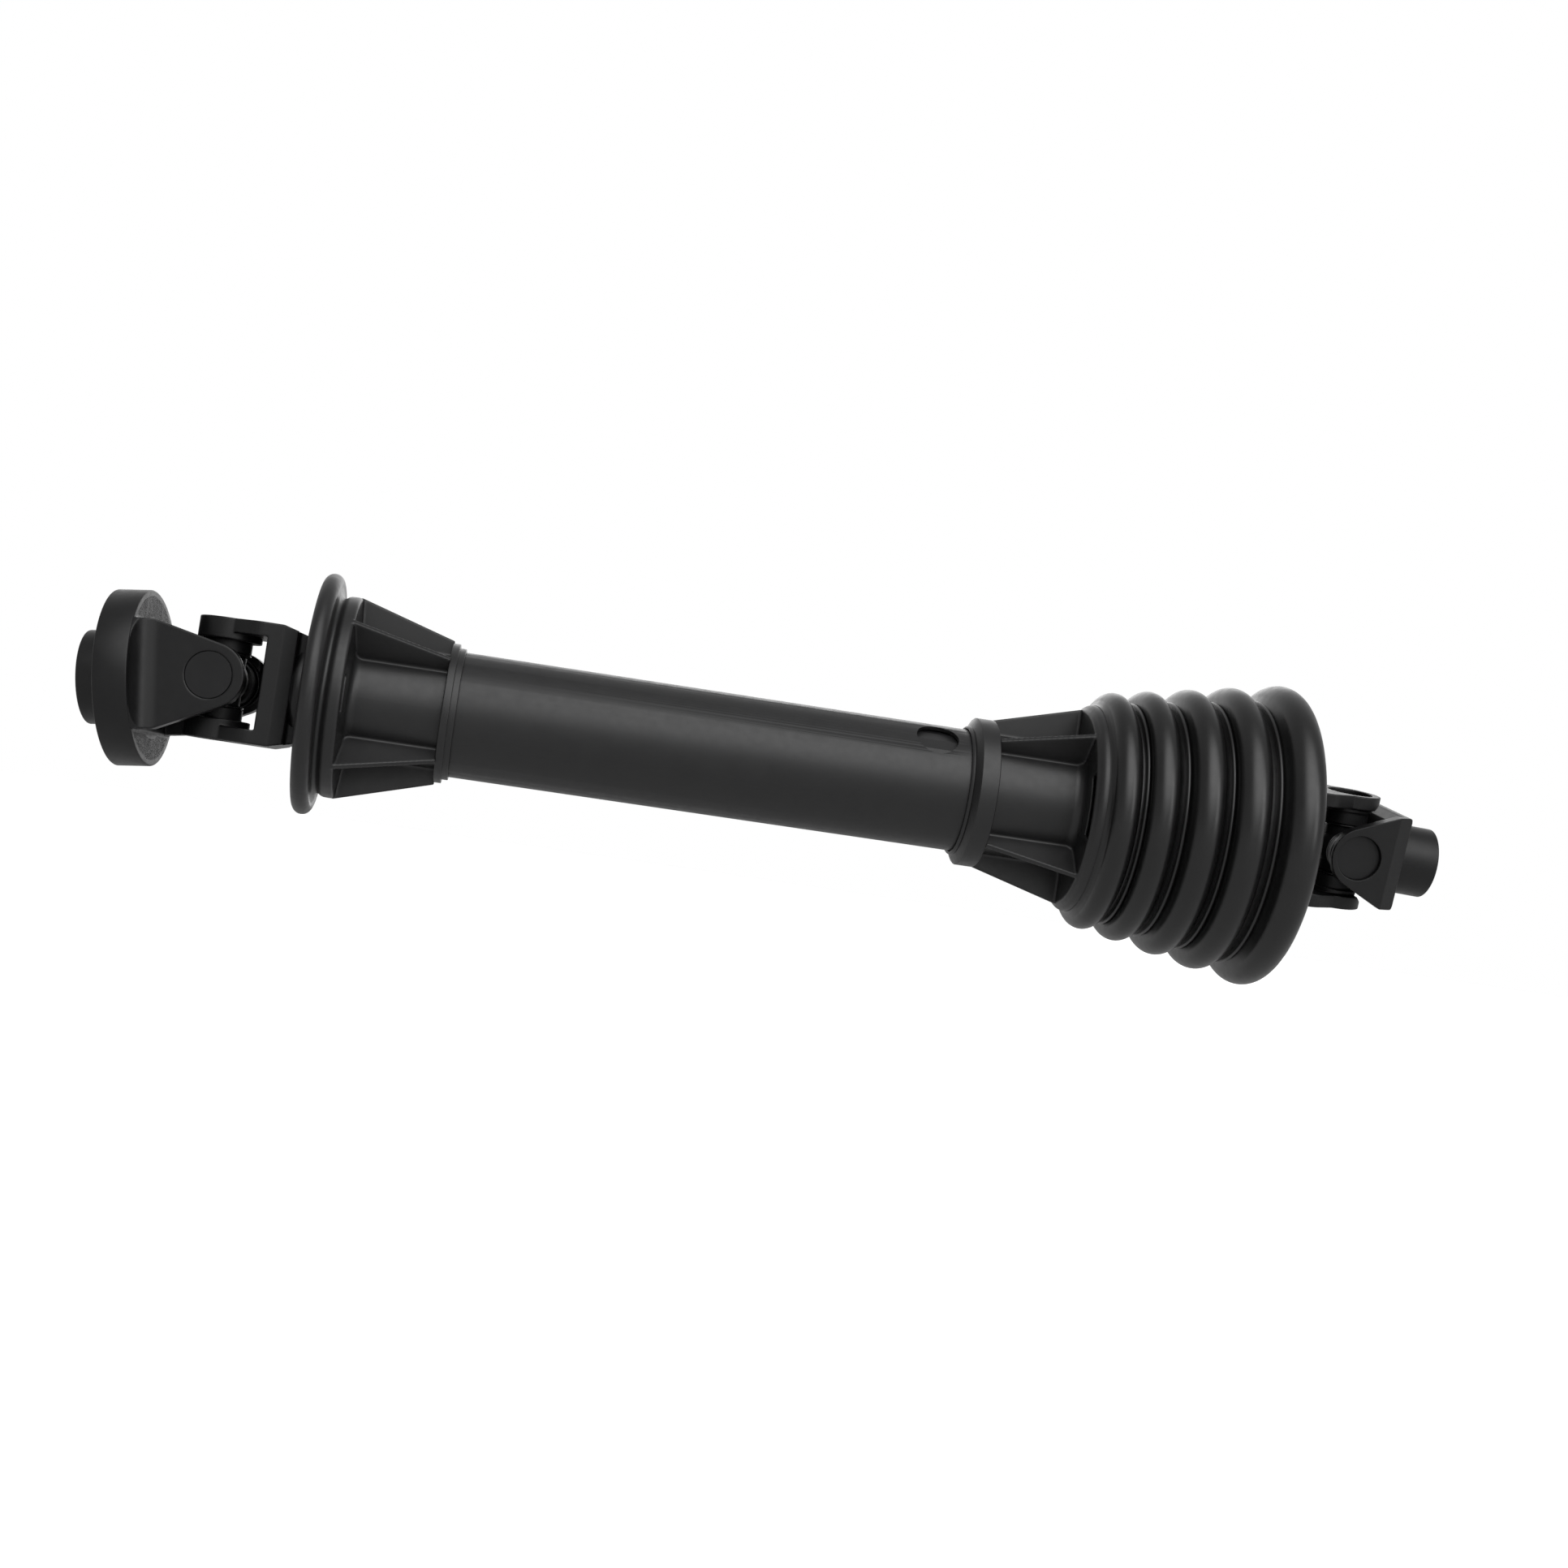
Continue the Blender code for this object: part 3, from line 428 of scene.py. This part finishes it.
def tube_yoke(name, body, place, node, tip=None, boss=17.0):
    """Ears up and down about the joint centre, web and hub towards +x."""
    half = rounded([(-22, 40), (36.6, 40), (57.4, 34.2), (58.4, 30)], [0, 2.2, 1.0, 0], False)
    side = mirrored(half)
    corners = [(4, 20.5), (20, 29.5), (36.8, 29.5), (46.2, 27.4), (46.4, 19), (60, 17)]
    flank = rounded(corners, [0, 14, 0.8, 0.4, 1, 0], False)
    plan = [(x, -y) for x, y in reversed(flank)] + arc((0, 0), 20.9, 280, 80, 40) + flank
    steps = [("INTERSECT", prism(plan, -41, 41, "z")),
             ("DIFFERENCE", block((-32, -42, -EAR_INNER), (27, 42, EAR_INNER)))]
    steps += ear_work("z", SUNK_DEPTH, tip, boss)
    make(name, body, [], place, prism(side, -29.5, 29.5), PAINT, steps, voxel=0.55, relax=2)
    hub = [(36, 0), (36, 20), (43.5, 25.5), (46.5, 28.6)] + arc((50.5, 26.8), 4.2, 150, 90, 5)
    hub += [(77.6, 31), (78, 30.6), (78, 28), (87, 28), (87, 30.6), (87.4, 31), (107.4, 31), (108, 30.4)]
    hub += [(108, 25), (62, 25), (62, 0)]
    make(name + "_hub", body, [node], place, turned(hub, MEDIUM), PAINT)


def end_yoke():
    """Ears at the sides, a square web, and a splined hub with a boss for the locking pin."""
    side = ear_side(EAR_LEAD, 22.7, 32.4)
    side += rounded([(22.7, 32.4), (34, 33.0), (34, -32.4), (22.7, -32.4)], [0, 2.6, 2.6, 0], False)
    outline = mirrored([(-30, 40), (22.7, 40), (34.2, 33)])
    window = mirrored([(-40, 50), (28.3, 50), (28.3, 32.3), (23, 27)])
    steps = [("INTERSECT", prism(outline, -60, 60, "z")), ("DIFFERENCE", prism(window, -EAR_INNER, EAR_INNER))]
    steps += ear_work("y", SUNK_DEPTH, -19.1)
    steps += [("UNION", rod(28, 37, 23.7, FINE)), ("DIFFERENCE", rod(18, 64, 18.4, MEDIUM))]
    make("end_yoke_forging", "end_yoke", [], END, prism(side, -EAR_OUTER, EAR_OUTER), PAINT,
         steps, voxel=0.5, relax=2)
    hub = [(29, 0), (29, 22), (32, 24.3)] + arc((62.3, 23.1), 1.2, 90, 5, 5)
    hub += [(63.5, 18.8), (62.6, 17.9), (62.6, 0)]
    boss = shifted(rod(18.5, 33, 9, SMALL, "y", 0.3), LOCK_X)
    hole = shifted(rod(10, 36, 4.8, SMALL, "y", 0.3), LOCK_X)
    make("end_yoke_hub", "end_yoke", ["end_yoke"], END, turned(hub, FINE), PAINT,
         [("UNION", boss), ("DIFFERENCE", hole), ("DIFFERENCE", prism(spline_outline(), 20, 70, "x"))])


def spline_outline(major=17.45, minor=14.9, half_width=4.35):
    """The bore for a six-spline shaft."""
    points = []
    wide = math.degrees(math.asin(half_width / major))
    narrow = math.degrees(math.asin(half_width / minor))
    for middle in range(0, 360, 60):
        points += arc((0, 0), major, middle - wide, middle + wide, 8)
        points += arc((0, 0), minor, middle + narrow, middle + 60 - narrow, 8)
    return points


def clutch():
    """Ears at the sides that run out into the drum's face, the drum, its hub and its back cover."""
    face, back = -47, -69.3
    side = ear_side(EAR_LEAD, -35.5, 35.5) + [(-35.5, 35.5), (-51, 35.5), (-51, -35.5), (-35.5, -35.5)]
    curve = arc((face + 15, 55), 15, 270, 184, 16)
    outline = mirrored([(30, 40)] + curve + [(face - 4, 55)])
    steps = [("INTERSECT", prism(outline, -60, 60, "z")),
             ("DIFFERENCE", block((face + 0.2, -EAR_INNER, -60), (40, EAR_INNER, 60)))]
    steps += ear_work("y", FLUSH_DEPTH, 22.9)
    steps += [("INTERSECT", rod(-55, 40, 57.4, FINE)), ("UNION", rod(face, face - 4, 56, FINE))]
    make("clutch_ears", "clutch_yoke", [], CLUTCH, prism(side, -56, 56), PAINT, steps,
         voxel=0.55, relax=3)
    disc = [(face, 40), (face, 56.8)]
    disc += arc((face - 1.2, 56.8), 1.2, 10, 80, 6) + arc((back + 1.2, 56.8), 1.2, 100, 170, 6)
    disc += [(back, 50.4), (back + 0.8, 50), (back + 0.8, 52), (back + 2.6, 52), (back + 2.6, 50)]
    disc += [(-65, 50), (-65, 44), (-51.5, 44), (-51.5, 40)]
    make("clutch_drum", "clutch_yoke", ["clutch_housing"], CLUTCH, turned(disc, FINE), PAINT)
    hub = [(-88.5, 0), (-88.5, 29.4)] + arc((-86.9, 29.4), 1.6, 170, 95, 5)
    hub += [(-64.7, 31), (-64.7, 36), (-51.8, 36), (-51.8, 0)]
    spline = prism(spline_outline(), -92, -40, "x")
    make("clutch_splined_hub", "clutch_hub", ["clutch_hub"], CLUTCH, turned(hub, FINE), PAINT,
         [("DIFFERENCE", spline)])
    cover = rounded([(-66.4, 31.4), (-66.4, 49.7), (-65.3, 49.7), (-65.3, 31.4)], 0.3)
    make("clutch_cover_plate", "clutch_yoke", ["clutch_cover"], CLUTCH, turned(cover, FINE), PAINT)


def cross_and_bearings(side, swing, tube_side, yoke_side, tube_body, yoke_body, depth):
    """A cross, and the cups, circlips and seals on its four ends. Depth is that of the circlips in the yoke that
    isn't on the tube."""
    arms = [(-33.6, 0), (-33.6, 8.6), (-32.7, 9.5), (-17.4, 9.5), (-16.5, 10.4), (-16.5, 12), (-16, 12.5)]
    arms += [(-x, r) for x, r in reversed(arms)]
    core = bmesh.new()
    bmesh.ops.create_uvsphere(core, u_segments=48, v_segments=32, radius=15.5)
    make(f"{side}_spider", f"{side}_cross", [f"{side}_cross"], swing, turned(arms, SMALL, "z"),
         JOINT_STEEL, [("UNION", turned(arms, SMALL, "y", 0.3)), ("UNION", core)],
         voxel=0.45, relax=2)
    for number, axis, flip, place, body in (
        (1, "z", 1, tube_side, tube_body), (2, "z", -1, tube_side, tube_body),
        (3, "y", 1, yoke_side, yoke_body), (4, "y", -1, yoke_side, yoke_body),
    ):
        top = EAR_OUTER - (SUNK_DEPTH if axis == "z" else depth)
        face = 39.9 if axis == "y" and depth == FLUSH_DEPTH else 36.9
        cup = [(18.2, 9.8), (18.2, 14.5), (18.8, CUP_RADIUS), (top - 1.7, CUP_RADIUS), (top - 1.7, 11.2)]
        cup += [(top + 0.1, 11.2), (top + 0.1, 15.2), (face - 0.3, 15.2), (face, 14.9), (face, 0), (33.9, 0)]
        cup.append((33.9, 9.8))
        clip = rounded([(top - 1.6, 11.5), (top - 1.6, 16.3), (top, 16.3), (top, 11.5)], 0.25)
        seal = rounded([(16.8, 10.2), (16.8, 15.1), (17.9, 15.1), (17.9, 10.2)], 0.3)
        angle = math.pi / 2 * (1 - flip) if axis == "z" else -flip * math.pi / 2
        turn = place @ Matrix.Rotation(angle, 4, "X")
        for kind, ending, outline, skin, slot in (
            ("cup", "shell", cup, JOINT_STEEL, "machined_steel"),
            ("circlip", "ring", clip, DARK_STEEL, "spring_steel"),
            ("seal", "ring", seal, RUBBER, "black_rubber"),
        ):
            node = f"{side}_{kind}_{number}"
            make(f"{node}_{ending}", body, [node], turn, turned(outline, SMALL, "z"), skin)


left_cone()
guard_tube()
right_cone()
bellows()
tube_yoke("left_yoke_forging", "left_shaft", LEFT_TUBE, "left_inner_yoke", boss=20.9)
tube_yoke("right_yoke_forging", "right_shaft", RIGHT_TUBE, "right_inner_yoke", tip=-21)
end_yoke()
clutch()
cross_and_bearings("left", LEFT_CROSS, LEFT_TUBE, CLUTCH, "left_shaft", "clutch_yoke", FLUSH_DEPTH)
cross_and_bearings("right", RIGHT_CROSS, RIGHT_TUBE, END, "right_shaft", "end_yoke", SUNK_DEPTH)

# nodes that no visible piece replaces keep their shape from the CAD
SLOT_SKINS = {"black_paint": PAINT, "black_plastic": PLASTIC, "black_rubber": RUBBER,
              "machined_steel": STEEL, "spring_steel": DARK_STEEL, "nylon": NYLON}
slots = {part["node"]: part["material_slot"] for part in frame["record"]["subparts"]}
for name, node in frame["nodes"].items():
    if not node.hide_render:
        node.data.materials.clear()
        node.data.materials.append(SLOT_SKINS[slots[name]])

# ---------------------------------------------------------------- studio

scene = bpy.context.scene
scene.view_settings.view_transform = "Standard"

CAMERA_PLACE = (-0.1745, -1.4649, -0.06464)
CAMERA_BACK = Vector((-0.1218258, -0.9919469, -0.0346395))
CAMERA_UP = Vector((-0.1464553, -0.0165525, 0.9890788))
camera_data = bpy.data.cameras.new("camera")
camera_data.sensor_width = 36
camera_data.lens = 49.861
camera_data.clip_start = 0.01
camera = bpy.data.objects.new("camera", camera_data)
scene.collection.objects.link(camera)
right = CAMERA_UP.cross(CAMERA_BACK).normalized()
turn = Matrix((right, CAMERA_UP, CAMERA_BACK)).transposed().to_4x4()
camera.matrix_world = Matrix.Translation(CAMERA_PLACE) @ turn
scene.camera = camera

world = bpy.data.worlds.new("studio")
scene.world = world
world.use_nodes = True
nodes, links = world.node_tree.nodes, world.node_tree.links
where = nodes.new("ShaderNodeTexCoord")


def sum_of(first, second):
    node = nodes.new("ShaderNodeMath")
    links.new(first, node.inputs[0])
    if isinstance(second, float):
        node.inputs[1].default_value = second
    else:
        links.new(second, node.inputs[1])
    return node.outputs["Value"]


def panel(direction, core, edge, level):
    """A round soft light in a direction: full within the core angle, gone beyond the edge angle."""
    dot = nodes.new("ShaderNodeVectorMath")
    dot.operation = "DOT_PRODUCT"
    links.new(where.outputs["Generated"], dot.inputs[0])
    dot.inputs[1].default_value = Vector(direction).normalized()
    fall = nodes.new("ShaderNodeMapRange")
    fall.interpolation_type = "SMOOTHSTEP"
    fall.inputs["From Min"].default_value = math.cos(math.radians(edge))
    fall.inputs["From Max"].default_value = math.cos(math.radians(core))
    fall.inputs["To Max"].default_value = level
    links.new(dot.outputs["Value"], fall.inputs["Value"])
    return fall.outputs["Result"]


ROOM_LEVEL = 0.33
FLOOR_GLOW = 0.72  # for camera rays only, so the floor reads as pale as the backdrop
PANELS = (  # direction, core and edge angle in degrees, level
    ((0.12, -0.73, 0.66), 6, 44, 2.0),
    ((0.10, 0.92, 0.26), 6, 26, 1.6),
    ((0.10, 0.92, 0.30), 20, 60, 0.30),
    ((0.75, -0.65, 0.52), 4, 14, 1.4),
    ((0.75, -0.65, 0.26), 4, 14, 1.6),
    ((0.75, -0.65, 0.0), 4, 14, 1.6),
    ((0.75, -0.65, -0.26), 4, 14, 1.4),
    ((0.75, -0.65, -0.52), 4, 14, 1.2),
    ((0.15, -0.66, -0.74), 20, 62, 0.30),
)
level = panel((0, 0, -1), 60, 110, 0.02)  # a faint return from below
for direction, core, edge, strength in PANELS:
    level = sum_of(level, panel(direction, core, edge, strength))
level = sum_of(level, ROOM_LEVEL)
around = nodes["Background"]
links.new(level, around.inputs["Color"])
plain = nodes.new("ShaderNodeBackground")
plain.inputs["Color"].default_value = (1, 1, 1, 1)
path = nodes.new("ShaderNodeLightPath")
choose = nodes.new("ShaderNodeMixShader")
links.new(path.outputs["Is Camera Ray"], choose.inputs["Fac"])
links.new(around.outputs["Background"], choose.inputs[1])
links.new(plain.outputs["Background"], choose.inputs[2])
links.new(choose.outputs["Shader"], nodes["World Output"].inputs["Surface"])

floor_shape = bmesh.new()
bmesh.ops.create_circle(floor_shape, cap_ends=True, segments=96, radius=30)
floor = raw_object("floor", floor_shape)
floor.location = (0, 0, -0.40)
floor_skin = satin("floor", (0.56, 0.56, 0.56), (0.60, 0.60, 0.60), (0.7, 0.8), 40, 0.02, specular=0.1,
                   mottling=2)
glow_nodes, glow_links = floor_skin.node_tree.nodes, floor_skin.node_tree.links
glow = glow_nodes.new("ShaderNodeLightPath")
floor_shader = glow_nodes["Principled BSDF"]
floor_shader.inputs["Emission Color"].default_value = (1, 1, 1, 1)
seen = glow_nodes.new("ShaderNodeMath")
seen.operation = "MULTIPLY"
seen.inputs[1].default_value = FLOOR_GLOW
glow_links.new(glow.outputs["Is Camera Ray"], seen.inputs[0])
glow_links.new(seen.outputs["Value"], floor_shader.inputs["Emission Strength"])
floor.data.materials.append(floor_skin)
